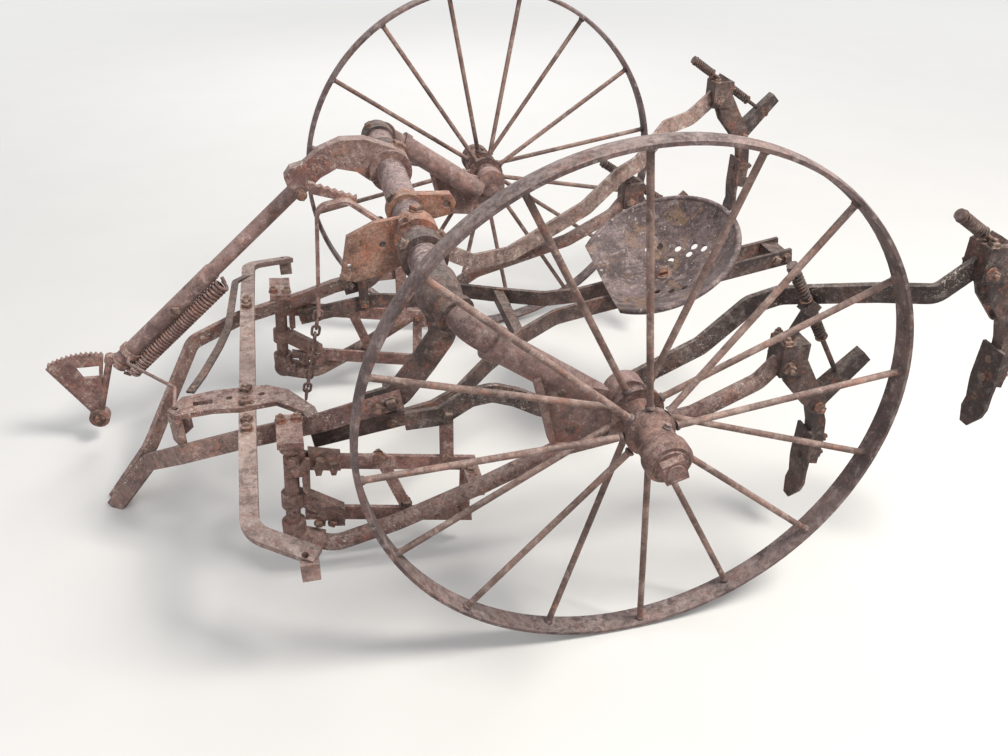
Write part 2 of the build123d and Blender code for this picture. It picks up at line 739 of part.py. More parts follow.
def stop_comb():
    y = strap_y + strap_width / 2 + 8.3
    outline = [(-540, 848)]
    for tooth in range(6):
        x = -530 + tooth * 14
        outline += [(x, 846 - tooth * 6), (x + 7, 838 - tooth * 6)]
    outline += [(-446, 812), (-450, 796), (-540, 826)]
    return plate_xz(outline, y, 16)


def lift_chain():
    """Oval links, each turned a quarter from the last, and a flat hook at the low end."""
    hole, low = at(*chain_hole), at(*chain_low)
    along = (low - hole).normalized()
    rest = at(0, 0, chain_wire + 1.9 - chain_eye)
    top = hole + rest + along * (chain_straight / 2 + chain_bend - chain_pitch / 2)
    flat = along.cross(Vector(0, 1, 0)).normalized()
    links = []
    for index in range(chain_count):
        centre = top + along * (index + 0.5) * chain_pitch
        across = along.cross(flat) if index % 2 else flat
        half = chain_straight / 2
        corners = [centre + along * half + across * chain_bend, centre - along * half + across * chain_bend,
                   centre - along * half - across * chain_bend, centre + along * half - across * chain_bend]
        ends = [centre - along * (half + chain_bend), centre + along * (half + chain_bend)]
        path = Wire([Line(corners[0], corners[1]).edge(), ThreePointArc(corners[1], ends[0], corners[2]).edge(),
                     Line(corners[2], corners[3]).edge(), ThreePointArc(corners[3], ends[1], corners[0]).edge()])
        plane = Plane(origin=corners[0], x_dir=across, z_dir=along * -1)
        links.append(sweep(plane * Circle(chain_wire), path=path))
    return links


def seat_frame():
    """Frame at the foot of the pan, so that the ball's skin just clears the nearer bar."""
    ahead, behind = mirrored(seat_bar_path[-2:], -1)
    slope = math.atan2(behind.Z - ahead.Z, behind.X - ahead.X)
    top = ahead.Z + (seat_ball[0] - ahead.X) * math.tan(slope) + seat_bar_width / 2 / math.cos(slope)
    edge = abs(seat_ball[1] - ahead.Y) - seat_bar_thick / 2
    height = (math.sqrt(seat_sphere ** 2 - edge ** 2) + seat_gap) / math.cos(slope)
    turn = Location((0, 0, 0), (seat_roll, 0, 0)) * Location((0, 0, 0), (0, -seat_pitch, 0))
    return Location((seat_ball[0], seat_ball[1], top + height)) * turn * Location((0, 0, -seat_sphere))


def seat_pan():
    """Pressed dish: shell of a ball with a rolled rim, cut straight at the front, with drain holes."""
    ball = Pos(0, 0, seat_sphere) * (Sphere(seat_sphere) - Sphere(seat_sphere - seat_thick))
    pan = ball & Pos(0, 0, seat_depth / 2) * Box(600, 600, seat_depth)
    rim_radius = math.sqrt(seat_sphere ** 2 - (seat_sphere - seat_depth) ** 2)
    pan += Pos(0, 0, seat_depth - 2) * Torus(rim_radius, seat_rim)
    pan -= Pos(-seat_front - 100, 0, seat_depth / 2) * Box(200, 600, 300)
    for x, y in seat_holes:
        pan -= Pos(x, y, 20) * Cylinder(seat_hole, 150)
    return seat_frame() * pan


def seat_bar(side):
    return flat_bar(mirrored(seat_bar_path, side), seat_bar_width, seat_bar_thick, seat_bar_bend)


def seat_bars():
    """Two bars on edge from under the frame bars, drawn together below the seat, each with its clip."""
    bars = []
    for side in (-1, 1):
        face = side * (riser_y - riser_thick / 2)
        inner = side * (seat_bar_path[0][1] - seat_bar_thick / 2)
        clip = Pos(-424, inner - side * 5, 372) * Box(26, 10, 100)
        clip += Pos(-424, (inner + face) / 2, 403) * Box(26, abs(face - inner), 38)
        bars.append(seat_bar(side) + clip)
    return bars


def middle_piece(body):
    return sorted(body.solids(), key=lambda solid: abs(solid.center().Y))[0]


def seat_cross():
    """Flat cross tie of the seat bars with its forward brace."""
    body = Pos(-87, 0, 402) * Box(24, 300, 30)
    body = middle_piece(body - seat_bar(-1) - seat_bar(1))
    brace = [(-92, 40), (-80, 20), (-160, -52), (-206, 10), (-216, 2), (-166, -70)]
    return body + extrude(Plane.XY.offset(398) * make_face(Polyline(*brace, close=True)), 8)


def seat_post():
    """Block between the seat bars, with the pad under the pan, and the spacer at their rear ends."""
    frame = seat_frame()
    foot = frame.position
    body = Pos(foot.X, 0, foot.Z - 38) * Box(56, 100, 36)
    body = middle_piece(body - seat_bar(-1) - seat_bar(1))
    pad = frame * (Pos(10, 14, -14) * Cylinder(26, 50))
    body += pad - seat_bar(-1) - seat_bar(1)
    body -= frame * (Pos(0, 0, seat_sphere) * Sphere(seat_sphere + 0.2))
    return middle_piece(body)


def seat_spacer():
    last = seat_bar_path[-1]
    body = Pos(last[0] - 30, 0, last[2] - 4) * Box(44, 2 * last[1] + 4, 26)
    return middle_piece(body - seat_bar(-1) - seat_bar(1))


nodes = {}
nodes["arch_tube"] = arch_tube()
nodes["front_bow"] = front_bow()
nodes["tongue_bracket"] = tongue_bracket()
nodes["lift_plate"] = lift_plate()
nodes["lift_arm"] = lift_arm()
nodes["link_lug"] = link_lug()
nodes["guard_hoop"] = guard_hoop()
nodes["stop_comb"] = stop_comb()
nodes["lift_tube"] = lift_tube()
nodes["lift_spring"] = lift_spring()
nodes["tube_clevis"] = tube_clevis()
nodes["toothed_sector"] = toothed_sector()
nodes["sector_rod"] = sector_rod()
nodes["lift_chain"] = lift_chain()
nodes["seat_pan"] = seat_pan()
nodes["seat_bars"] = seat_bars()
nodes["seat_cross"] = seat_cross()
nodes["seat_post"] = [seat_post(), seat_spacer()]
nodes["draft_strap"] = draft_strap()

for name, side in (("left", -1), ("right", 1)):
    nodes["wheel_rim_" + name] = wheel_rim(side)
    nodes["wheel_hub_" + name] = wheel_hub(side)
    nodes["wheel_spokes_" + name] = wheel_spokes(side, spoke_phase[name])
    nodes["arch_elbow_" + name] = arch_elbow(side)
    nodes["crank_pipe_" + name] = crank_pipe(side)
    nodes["axle_end_" + name] = axle_end(side)
    nodes["axle_nut_" + name] = axle_nut(side)
    nodes["frame_bar_" + name] = frame_bar(side)
    nodes["riser_" + name] = riser(side)
    nodes["gang_pin_" + name] = gang_pin(side)
    nodes["gang_coupling_" + name] = gang_coupling(side)
    nodes["gang_head_" + name] = gang_head(side)
    nodes["gang_links_" + name] = gang_links(side)
    nodes["gang_pipe_" + name] = gang_pipe(side)
    nodes["gang_beam_" + name] = gang_beam(side)
    nodes["trip_clamps_" + name] = [trip_clamp(side, row) for row in trip_sets[name]]
    nodes["trip_rods_" + name] = [trip_rod(side, row) for row in trip_sets[name]]
    nodes["trip_springs_" + name] = [coil for row in trip_sets[name] for coil in trip_spring(side, row)]
    nodes["shanks_" + name] = [shank(side, row) for row in trip_sets[name]]
    nodes["shovels_" + name] = [shovel(side, row) for row in trip_sets[name]]

os.makedirs("parts", exist_ok=True)
for name, shape in nodes.items():
    pieces = shape if isinstance(shape, list) else [shape]
    solids = [solid for piece in pieces for solid in piece.solids()]
    placed = Pos(axle_behind, 0, 0) * Compound(children=solids)
    export_step(placed, "parts/" + name + ".step")
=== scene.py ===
import math
import bpy
import bmesh
from mathutils import Matrix, Vector


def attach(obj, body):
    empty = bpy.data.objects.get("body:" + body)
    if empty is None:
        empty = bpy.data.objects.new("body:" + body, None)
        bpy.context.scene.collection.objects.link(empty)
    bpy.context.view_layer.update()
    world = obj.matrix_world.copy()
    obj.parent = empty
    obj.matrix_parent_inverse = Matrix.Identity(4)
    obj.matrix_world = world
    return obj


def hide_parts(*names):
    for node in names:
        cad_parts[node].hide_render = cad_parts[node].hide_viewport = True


# Horse-drawn riding row cultivator, rusted all over, on a plain pale floor.
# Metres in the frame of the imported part: +X is the rear, +Y the driver's right.
# Tables and the sizes of forms are in millimetres, with x measured from the wheel axis,
# y from the middle of the machine and z from the ground.

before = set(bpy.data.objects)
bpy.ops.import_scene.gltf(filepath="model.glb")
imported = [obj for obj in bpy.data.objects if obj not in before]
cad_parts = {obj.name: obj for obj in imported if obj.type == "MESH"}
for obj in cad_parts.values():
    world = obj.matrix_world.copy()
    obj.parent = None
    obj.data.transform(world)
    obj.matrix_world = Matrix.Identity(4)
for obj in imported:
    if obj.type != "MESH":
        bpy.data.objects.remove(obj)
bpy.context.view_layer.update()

AXLE = 0.1716                # metres from the frame's origin back to the wheel axis
WHEEL_RADIUS = 533.0
HALF_TRACK = 681.5           # to the middle plane of a wheel
ARCH_X, ARCH_Z = -335.0, 728.0
SIDES = {"left": -1, "right": 1}


def tone(red, green, blue):
    """Linear colour of an sRGB triple of 0 to 255."""
    out = []
    for value in (red, green, blue):
        value = value / 255
        out.append(value / 12.92 if value <= 0.04045 else ((value + 0.055) / 1.055) ** 2.4)
    return (*out, 1.0)


class Sock:
    """Output of a node: arithmetic on it adds Math nodes."""

    def __init__(self, tree, out):
        self.tree = tree
        self.out = out

    def __add__(self, other):
        return self.tree.calc("ADD", self, other)

    def __mul__(self, other):
        return self.tree.calc("MULTIPLY", self, other)

    def __radd__(self, other):
        return self.tree.calc("ADD", other, self)

    def __rsub__(self, other):
        return self.tree.calc("SUBTRACT", other, self)


class Tree:
    """Node tree of a material or of the world."""

    def __init__(self, owner):
        self.owner = owner
        owner.use_nodes = True
        self.net = owner.node_tree
        self.net.nodes.clear()

    def feed(self, socket, value):
        if isinstance(value, Sock):
            self.net.links.new(value.out, socket)
        else:
            socket.default_value = value

    def node(self, kind, out=0, settings=None, values=None):
        """New node with its settings and the values or links of its inputs; returns an output."""
        made = self.net.nodes.new(kind)
        for key, value in (settings or {}).items():
            setattr(made, key, value)
        for key, value in (values or {}).items():
            self.feed(made.inputs[key], value)
        return Sock(self, made.outputs[out]) if out is not None else None

    def calc(self, operation, first, second=0.0):
        return self.node("ShaderNodeMath", 0, {"operation": operation}, {0: first, 1: second})

    def mix(self, factor, first, second, blend="MIX"):
        settings = {"data_type": "RGBA", "blend_type": blend}
        return self.node("ShaderNodeMix", 2, settings, {0: factor, 6: first, 7: second})

    def vector(self, operation, first, second=(0.0, 0.0, 0.0), out=0):
        return self.node("ShaderNodeVectorMath", out, {"operation": operation}, {0: first, 1: second})

    def fit(self, value, low, high):
        """Smooth step from 0 at low to 1 at high."""
        settings = {"interpolation_type": "SMOOTHSTEP", "clamp": True}
        return self.node("ShaderNodeMapRange", 0, settings, {0: value, 1: low, 2: high, 3: 0.0, 4: 1.0})

    def place(self):
        return self.node("ShaderNodeTexCoord", "Object")

    def noise(self, vector, scale, detail, rough, twist=0.0):
        values = {"Vector": vector, "Scale": scale, "Detail": detail, "Roughness": rough, "Distortion": twist}
        return self.node("ShaderNodeTexNoise", 0, None, values)

    def cells(self, vector, scale):
        return self.node("ShaderNodeTexVoronoi", 0, None, {"Vector": vector, "Scale": scale})

    def grit(self, grain, speck, share):
        """Fine light and dark, about 1 in the middle, to multiply a colour by."""
        return self.fit(grain, 0.38, 0.62) * share + self.fit(speck, 0.38, 0.62) * 0.4 + 0.55

    def upward(self):
        """1 where the surface faces up, and -1 where it faces down."""
        normal = self.node("ShaderNodeNewGeometry", "Normal")
        return self.vector("DOT_PRODUCT", normal, (0.0, 0.0, 1.0), 1)

    def finish(self, colour, roughness, height, depth, metal=0.0, glow=None):
        """Shader of a material: height makes a bump of depth metres, and glow is emitted."""
        bump = self.node("ShaderNodeBump", 0, None, {"Height": height, "Distance": depth, "Strength": 0.9})
        values = {"Base Color": colour, "Roughness": roughness, "Metallic": metal, "Normal": bump}
        shader = self.net.nodes.new("ShaderNodeBsdfPrincipled")
        for key, value in values.items():
            self.feed(shader.inputs[key], value)
        if glow:
            self.feed(shader.inputs["Emission Color"], glow)
            shader.inputs["Emission Strength"].default_value = 1.0
        out = self.net.nodes.new("ShaderNodeOutputMaterial")
        self.net.links.new(shader.outputs[0], out.inputs[0])
        return self.owner


EMBER = tone(156, 88, 58)
PIT = tone(42, 32, 28)
LICHEN = tone(204, 194, 182)
STEEL, STEEL_DARK, STEEL_DUST = tone(106, 90, 89), tone(74, 60, 59), tone(142, 127, 123)
STEEL_PIT, STEEL_CHIP = tone(44, 36, 34), tone(190, 182, 174)
OCHRE = tone(124, 96, 72)

# Rusts: colours as sRGB triples, then the strengths of orange bloom, lichen flakes and pits;
# offset moves the pattern, crust deepens it and grit is its fine light and dark
RUSTS = {
    "rusted_bar": dict(
        body=(130, 99, 91), deep=(103, 75, 70), pale_dust_and_light=(168, 151, 141),
        ember=0.35, flakes=0.35, pits=0.5),
    "rusted_casting": dict(
        body=(118, 90, 82), deep=(88, 66, 61), pale_dust_and_light=(152, 128, 119),
        ember=0.36, flakes=0.25, pits=0.7, offset=2.0, crust=1.2),
    "orange_casting": dict(
        body=(140, 103, 86), deep=(112, 84, 72), pale_dust_and_light=(162, 134, 120),
        ember=0.6, flakes=0.25, pits=0.5, offset=3.0),
    "sooty_iron": dict(
        body=(86, 67, 62), deep=(54, 43, 41), pale_dust_and_light=(124, 110, 102),
        ember=0.3, flakes=0.2, pits=0.6, offset=4.0),
    "crusted_iron": dict(
        body=(88, 73, 69), deep=(54, 43, 41), pale_dust_and_light=(136, 124, 117),
        ember=0.2, flakes=1.0, pits=0.9, offset=5.0, crust=2.2),
    "wheel_iron": dict(
        body=(102, 84, 81), deep=(72, 58, 57), pale_dust_and_light=(152, 136, 131),
        ember=0.2, flakes=0.2, pits=0.35, offset=6.0, crust=0.6, grit=0.5),
    "spoke_iron": dict(
        body=(128, 103, 94), deep=(98, 77, 71), pale_dust_and_light=(166, 147, 137),
        ember=0.35, flakes=0.1, pits=0.4, offset=7.0, crust=0.6, grit=0.6),
    "flaked_bar": dict(
        body=(124, 99, 91), deep=(103, 75, 70), pale_dust_and_light=(162, 146, 138),
        ember=0.4, flakes=1.0, pits=0.6, offset=8.0),
    "rusted_pipe": dict(
        body=(132, 105, 99), deep=(102, 79, 75), pale_dust_and_light=(172, 150, 143),
        ember=0.4, flakes=0.4, pits=0.4, offset=9.0, crust=0.8, grit=0.6),
    "weathered_bar": dict(
        body=(148, 124, 116), deep=(114, 92, 87), pale_dust_and_light=(182, 166, 156),
        ember=0.25, flakes=0.5, pits=0.4, offset=10.0, crust=0.8, grit=0.6),
    "grey_tube": dict(
        body=(122, 100, 98), deep=(88, 69, 68), pale_dust_and_light=(168, 150, 146),
        ember=0.3, flakes=1.0, pits=0.5, offset=12.0),
    "bolt_rust": dict(
        body=(110, 84, 73), deep=(72, 56, 50), pale_dust_and_light=(160, 138, 126),
        ember=0.6, flakes=0.0, pits=0.5, offset=14.0),
    # Pale bar: weathered, and partly painted light, as for a beam lit from above
    "bleached_and_lit_bar": dict(
        body=(138, 116, 108), deep=(104, 84, 78), pale_dust_and_light=(184, 168, 156),
        ember=0.25, flakes=0.8, pits=0.6, offset=16.0, grit=0.9),
}

# Finish of each CAD node by the start of its name; the longest that fits is used
FINISH = {
    "": "rusted_bar",
    "arch_tube": "grey_tube",
    "arch_elbow": "sooty_iron",
    "crank_pipe": "rusted_pipe",
    "axle_end": "rusted_pipe",
    "frame_bar": "flaked_bar",
    "riser": "sooty_iron",
    "front_bow": "weathered_bar",
    "tongue_bracket": "flaked_bar",
    "draft_strap": "sooty_iron",
    "lift_plate": "orange_casting",
    "lift_arm": "flaked_bar",
    "lift_tube": "rusted_pipe",
    "link_lug": "orange_casting",
    "seat_": "sooty_iron",
    "seat_pan": "seat_steel",
    "wheel": "wheel_iron",
    "wheel_hub": "rusted_casting",
    "wheel_spokes": "spoke_iron",
    "gang_coupling": "rusted_casting",
    "gang_head": "rusted_casting",
    "gang_pipe": "flaked_bar",
    "gang_beam_left": "crusted_iron",
    # The far gang beam is painted paler than its twin, partly as painted light from above
    "gang_beam_right": "bleached_and_lit_bar",
    "trip": "sooty_iron",
    "shank": "sooty_iron",
    "shovel": "sooty_iron",
}


def rust(name, body, deep, pale_dust_and_light, ember, flakes, pits, offset=0.0, crust=1.0, grit=1.0):
    """Old rust: cloudy browns, dark pits, orange blooms, pale dust on top that is partly painted light from
    above, and lichen flakes.
    """
    tree = Tree(bpy.data.materials.new(name))
    place = tree.vector("ADD", tree.place(), (offset, offset * 0.7, offset * 1.3))
    cloud = tree.noise(place, 8.0, detail=6.0, rough=0.68, twist=0.4)
    patch = tree.noise(place, 36.0, detail=8.0, rough=0.76, twist=0.3)
    grain = tree.noise(place, 130.0, detail=6.0, rough=0.8)
    speck = tree.noise(place, 310.0, detail=4.0, rough=0.75)
    blister = tree.cells(tree.vector("ADD", place, (0.3, 0.9, 0.1)), 95.0)
    colour = tree.mix(tree.fit(cloud, 0.43, 0.57), tone(*body), tone(*deep))
    colour = tree.mix(tree.fit(patch, 0.53, 0.6) * 0.5, colour, tone(*pale_dust_and_light))

    bloom = tree.noise(place, 17.0, detail=6.0, rough=0.74, twist=0.5)
    bloom = tree.fit(bloom, 0.51, 0.6) * tree.fit(grain, 0.44, 0.56)
    colour = tree.mix(bloom * ember, colour, EMBER)
    hollow = 1.0 - tree.fit(patch, 0.39, 0.46)
    colour = tree.mix(hollow * (0.6 * pits + 0.2), colour, PIT)
    # Paler on faces turned up: settled dust, and partly painted light falling from above
    dust_and_top_light = tree.fit(tree.noise(place, 55.0, detail=6.0, rough=0.76), 0.4, 0.58)
    dust_and_top_light = tree.fit(tree.upward(), 0.1, 0.95) * dust_and_top_light
    colour = tree.mix(dust_and_top_light * 0.45, colour, tone(*pale_dust_and_light))
    colour = tree.mix(grit, colour, tree.grit(grain, speck, 0.46), "MULTIPLY")

    if flakes > 0:
        area = tree.fit(tree.noise(place, 14.0, detail=5.0, rough=0.66), 0.54 - 0.05 * flakes, 0.59)
        aside = tree.vector("ADD", place, (3.1, 1.7, 0.4))
        chips = tree.fit(tree.noise(aside, 105.0, detail=6.0, rough=0.78, twist=0.4), 0.585, 0.62)
        crumbs = tree.fit(tree.noise(place, 300.0, detail=3.0, rough=0.66), 0.6, 0.65)
        lichen = tree.calc("MAXIMUM", chips, crumbs * 0.7) * area
        colour = tree.mix(lichen * flakes, colour, LICHEN)

    roughness = 0.56 + patch * 0.2 + grain * 0.16
    height = patch * 0.5 + grain * 0.5 + speck * 0.2 + blister * (0.2 * crust)
    return tree.finish(colour, roughness, height, depth=0.0026 * crust)


def worn_steel(name):
    """Pressed steel, its paint long gone: mottled dark, ochre where wet stood, a little polished."""
    tree = Tree(bpy.data.materials.new(name))
    place = tree.place()
    cloud = tree.noise(place, 11.0, detail=6.0, rough=0.68, twist=0.5)
    grain = tree.noise(place, 125.0, detail=6.0, rough=0.8)
    speck = tree.noise(place, 300.0, detail=4.0, rough=0.75)
    stretched = tree.vector("MULTIPLY", place, (1.0, 1.3, 1.4))
    blotch = tree.noise(stretched, 30.0, detail=8.0, rough=0.76, twist=0.5)
    aside = tree.vector("ADD", place, (4.0, 2.0, 1.0))
    stain = tree.noise(aside, 16.0, detail=7.0, rough=0.72, twist=0.6)
    chips = tree.noise(place, 90.0, detail=6.0, rough=0.78, twist=0.3)
    colour = tree.mix(tree.fit(cloud, 0.42, 0.58), STEEL, STEEL_DARK)
    colour = tree.mix(tree.fit(blotch, 0.53, 0.6) * 0.55, colour, STEEL_DUST)
    colour = tree.mix(tree.fit(stain, 0.53, 0.6) * 0.6, colour, OCHRE)
    hollow = 1.0 - tree.fit(blotch, 0.39, 0.46)
    colour = tree.mix(hollow * 0.7, colour, STEEL_PIT)
    colour = tree.mix(1.0, colour, tree.grit(grain, speck, 0.5), "MULTIPLY")
    colour = tree.mix(tree.fit(chips, 0.6, 0.63) * 0.6, colour, STEEL_CHIP)
    roughness = 0.44 + blotch * 0.2 + grain * 0.2
    height = grain * 0.6 + blotch * 0.4 + speck * 0.15
    return tree.finish(colour, roughness, height, depth=0.0016, metal=0.1)


MATERIALS = {name: rust(name, **look) for name, look in RUSTS.items()}
MATERIALS["seat_steel"] = worn_steel("seat_steel")

for name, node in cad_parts.items():
    start = max((key for key in FINISH if name.startswith(key)), key=len)
    node.data.materials.clear()
    node.data.materials.append(MATERIALS[FINISH[start]])


def spot(x, y, z):
    """Point in metres from millimetres off the wheel axis."""
    return Vector((x / 1000 + AXLE, y / 1000, z / 1000))


def around(degrees):
    """Unit vector in the upright plane along the machine, from the rear upwards."""
    angle = math.radians(degrees)
    return Vector((math.cos(angle), 0, math.sin(angle)))


def cross_axes(axis, spin=0.0):
    """Two unit vectors across an axis, turned about it by spin degrees."""
    axis = axis.normalized()
    guide = Vector((0, 0, 1)) if abs(axis.z) < 0.8 else Vector((1, 0, 0))
    first = axis.cross(guide).normalized()
    second = axis.cross(first)
    turn = math.radians(spin)
    turned_first = first * math.cos(turn) + second * math.sin(turn)
    turned_second = second * math.cos(turn) - first * math.sin(turn)
    return turned_first, turned_second


SHARP_EDGE = 0.6             # radians between two faces, from which their edge stays sharp


class Form:
    """Mesh under construction; sizes in millimetres, places in metres."""

    def __init__(self):
        self.bm = bmesh.new()

    def loft(self, rings):
        """Skin over rings that have as many points each, closed at both ends."""
        loops = [[self.bm.verts.new(point) for point in ring] for ring in rings]
        count = len(loops[0])
        for low, high in zip(loops, loops[1:]):
            for index in range(count):
                after = (index + 1) % count
                self.bm.faces.new((low[index], low[after], high[after], high[index]))
        self.bm.faces.new(list(reversed(loops[0])))
        self.bm.faces.new(loops[-1])

    def turned(self, base, axis, profile, sides=16, spin=0.0):
        """Profile rows are height along the axis and radius."""
        axis = axis.normalized()
        first, second = cross_axes(axis, spin)
        rings = []
        for height, radius in profile:
            ring = []
            for index in range(sides):
                angle = math.tau * index / sides
                out = first * math.cos(angle) + second * math.sin(angle)
                ring.append(base + axis * (height / 1000) + out * (radius / 1000))
            rings.append(ring)
        self.loft(rings)

    def head(self, base, axis, size, spin=0.0):
        """Square bolt head with worn corners, on a washer."""
        corner = size * 0.7
        thick = size * 0.5
        washer = [(-1, size * 0.72), (1.6, size * 0.72), (2.2, size * 0.66)]
        square = [(1, corner * 0.96), (2, corner), (thick, corner * 0.98), (thick + 1.5, corner * 0.84),
                  (thick + 2.2, corner * 0.5)]
        self.turned(base, axis, washer, sides=18)
        self.turned(base, axis, square, sides=4, spin=spin)

    def nut(self, base, axis, size, spin=0.0):
        """Square nut on a washer, with the threaded end of its bolt."""
        self.head(base, axis, size, spin)
        bolt = size * 0.3
        top = size * 0.5
        threads = []
        for turn in range(4):
            threads += [(top + turn * 2, bolt * 0.9), (top + turn * 2 + 1, bolt)]
        self.turned(base, axis, threads + [(top + 8.6, bolt * 0.7)], sides=12)

    def rivet(self, base, axis, size):
        """Round head of a rivet."""
        profile = [(-1, size * 0.5), (0.6, size * 0.5), (size * 0.2, size * 0.42), (size * 0.3, size * 0.26),
                   (size * 0.34, size * 0.08)]
        self.turned(base, axis, profile, sides=14)

    def tube(self, points, radius, sides=8):
        """Round wire along points, with a frame carried along it."""
        rings = []
        across = None
        for index, point in enumerate(points):
            before = points[max(index - 1, 0)]
            after = points[min(index + 1, len(points) - 1)]
            axis = (after - before).normalized()
            if across is None:
                across = cross_axes(axis)[0]
            across = (across - axis * across.dot(axis)).normalized()
            upright = axis.cross(across)
            ring = []
            for step in range(sides):
                angle = math.tau * step / sides
                ring.append(point + (across * math.cos(angle) + upright * math.sin(angle)) * (radius / 1000))
            rings.append(ring)
        self.loft(rings)

    def coil(self, start, end, radius, wire, turns, per_turn=14, sides=7):
        """Helical spring, its turns a little closer in the middle."""
        axis = end - start
        first, second = cross_axes(axis)
        steps = turns * per_turn
        points = []
        for step in range(steps + 1):
            share = step / steps
            eased = share + 0.02 * math.sin(math.tau * share)
            angle = math.tau * step / per_turn
            out = first * math.cos(angle) + second * math.sin(angle)
            points.append(start + axis * eased + out * (radius / 1000))
        self.tube(points, wire, sides)

    def cotter(self, base, axis, across, reach):
        """Split pin through a rod end, as one wire with both of its ends bent."""
        axis = axis.normalized()
        across = across.normalized()
        points = [base - across * ((reach + 5) / 1000) + axis * 0.002, base - across * (reach / 1000),
                  base + across * (reach / 1000), base + across * ((reach + 4) / 1000) - axis * 0.003,
                  base + across * ((reach + 6) / 1000) - axis * 0.008]
        self.tube(points, radius=1.7, sides=6)

    def piece(self, name, material, body, slot, *stands_for):
        """Finish the mesh as a piece on a body, standing for CAD nodes if any are named."""
        bmesh.ops.recalc_face_normals(self.bm, faces=self.bm.faces)
        for face in self.bm.faces:
            face.smooth = True
        for edge in self.bm.edges:
            edge.smooth = len(edge.link_faces) < 2 or edge.calc_face_angle(0.0) < SHARP_EDGE
        mesh = bpy.data.meshes.new(name)
        self.bm.to_mesh(mesh)
        self.bm.free()
        mesh.materials.append(MATERIALS[material])
        made = bpy.data.objects.new(name, mesh)
        bpy.context.collection.objects.link(made)
        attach(made, body)
        if stands_for:
            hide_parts(*stands_for)


# Fasteners of the frame, mirrored: x, y, z, axis, kind, size, spin
BOTH_SIDES = [
    (-731, 266, 366.8, (0, 0, 1), "nut", 20, 12),
    (-731, 299, 366.8, (0, 0, 1), "nut", 20, 40),
    (-452, 311.5, 388, (0, 1, 0), "head", 22, 20),
    (-424, 311.5, 394, (0, 1, 0), "head", 22, 55),
    (-456, 290, 388, (0, -1, 0), "nut", 20, 5),
    (-424, 290, 330, (0, 1, 0), "head", 18, 15),
    (-424, 270.5, 336, (0, -1, 0), "nut", 18, 33),
    (612, 42, 495, (0, 1, 0), "head", 18, 25),
    (640, 42, 499, (0, 1, 0), "head", 18, 50),
    (300, 42, 447, (0, 1, 0), "head", 18, 10),
    (330, 42, 451, (0, 1, 0), "head", 18, 62),
    (-130, 596, 563, (0, 1, 0), "rivet", 20, 0),
    (-110, 596, 473, (0, 1, 0), "rivet", 20, 0),
    (-40, 596, 455, (0, 1, 0), "rivet", 20, 0),
    (12, 596, 462, (0, 1, 0), "rivet", 20, 0),
    (-130, 584, 563, (0, -1, 0), "rivet", 20, 0),
    (-110, 584, 473, (0, -1, 0), "rivet", 20, 0),
    (-40, 584, 455, (0, -1, 0), "rivet", 20, 0),
]

# Fasteners on one side only
ONE_SIDE = [
    (-731, -163, 378.8, (0, 0, 1), "nut", 22, 20),
    (-731, -212, 378.8, (0, 0, 1), "nut", 22, 48),
    (-404, -166.6, 756, (0, 1, 0), "rivet", 18, 0),
    (-484, -150.4, 811, (0, 1, 0), "rivet", 14, 0),
    (-1162, 259.2, 82, (0, -1, 0), "nut", 24, 15),
    (-1162, 288.8, 82, (0, 1, 0), "head", 24, 30),
    (-555.3, 202.2, 685.1, (0, -1, 0), "head", 20, 22),
    (-555.3, 301.8, 685.1, (0, 1, 0), "nut", 18, 22),
    (-905, 252.4, 388.5, (0, -1, 0), "head", 18, 40),
    (-905, 295.6, 388.5, (0, 1, 0), "nut", 18, 10),
    (-846, -132, 385.0, (0, 0, 1), "rivet", 13, 0),
]

# Set screws on the arch's collars: y, collar radius, degrees from the rear upwards, size
COLLAR_SCREWS = [
    (-306, 49, 142, 20), (-284, 49, 38, 20), (306, 49, 142, 20), (284, 49, 38, 20),
    (-181, 49, 84, 20), (-219, 49, 118, 20), (250, 52, 62, 20), (-452, 43, 122, 18), (452, 43, 122, 18),
    (-60, 45, 132, 18),
]
AXLE_PIN_Y = 836.4           # split pin through the end of each stub axle
SCREW_SINK = 0.4             # the screws' washers stand this deep in the collar


def fasten(form, rows, side=1):
    """Add the fasteners of a table, mirrored across the machine where side is -1."""
    for x, y, z, axis, kind, size, spin in rows:
        way = Vector((axis[0], axis[1] * side, axis[2]))
        base = spot(x, y * side, z)
        if kind == "rivet":
            form.rivet(base, way, size)
        elif kind == "nut":
            form.nut(base, way, size, spin)
        else:
            form.head(base, way, size, spin)


def frame_bolts():
    """Bolts, nuts and rivets of the frame, the axles' split pins and the arch's set screws."""
    bolts = Form()
    fasten(bolts, ONE_SIDE)
    for side in SIDES.values():
        fasten(bolts, BOTH_SIDES, side)
        pin = spot(0, side * AXLE_PIN_Y, WHEEL_RADIUS)
        bolts.cotter(pin, Vector((0, side, 0)), Vector((0.5, 0, 0.86)), reach=17.5)
    for y, radius, degrees, size in COLLAR_SCREWS:
        out = around(degrees)
        bolts.head(spot(ARCH_X, y, ARCH_Z) + out * ((radius - SCREW_SINK) / 1000), out, size, degrees)
    bolts.piece("frame_bolts", "bolt_rust", "frame", "rusted_casting")


# Middle of the seat dish's bottom, and the way up from it
SEAT_FOOT = spot(313.95, -24.0, 482.2)
SEAT_UP = Vector((-0.40674, -0.15864, 0.89967))
SEAT_WASHER = [(3.4, 21), (5.6, 21), (6.2, 19)]


def seat_bolt():
    """Bolt through the seat's dish, on a broad washer."""
    bolt = Form()
    bolt.turned(SEAT_FOOT, SEAT_UP, SEAT_WASHER, sides=24)
    bolt.head(SEAT_FOOT + SEAT_UP * 0.006, SEAT_UP, size=22, spin=25)
    bolt.piece("seat_bolt", "bolt_rust", "frame", "seat_steel")


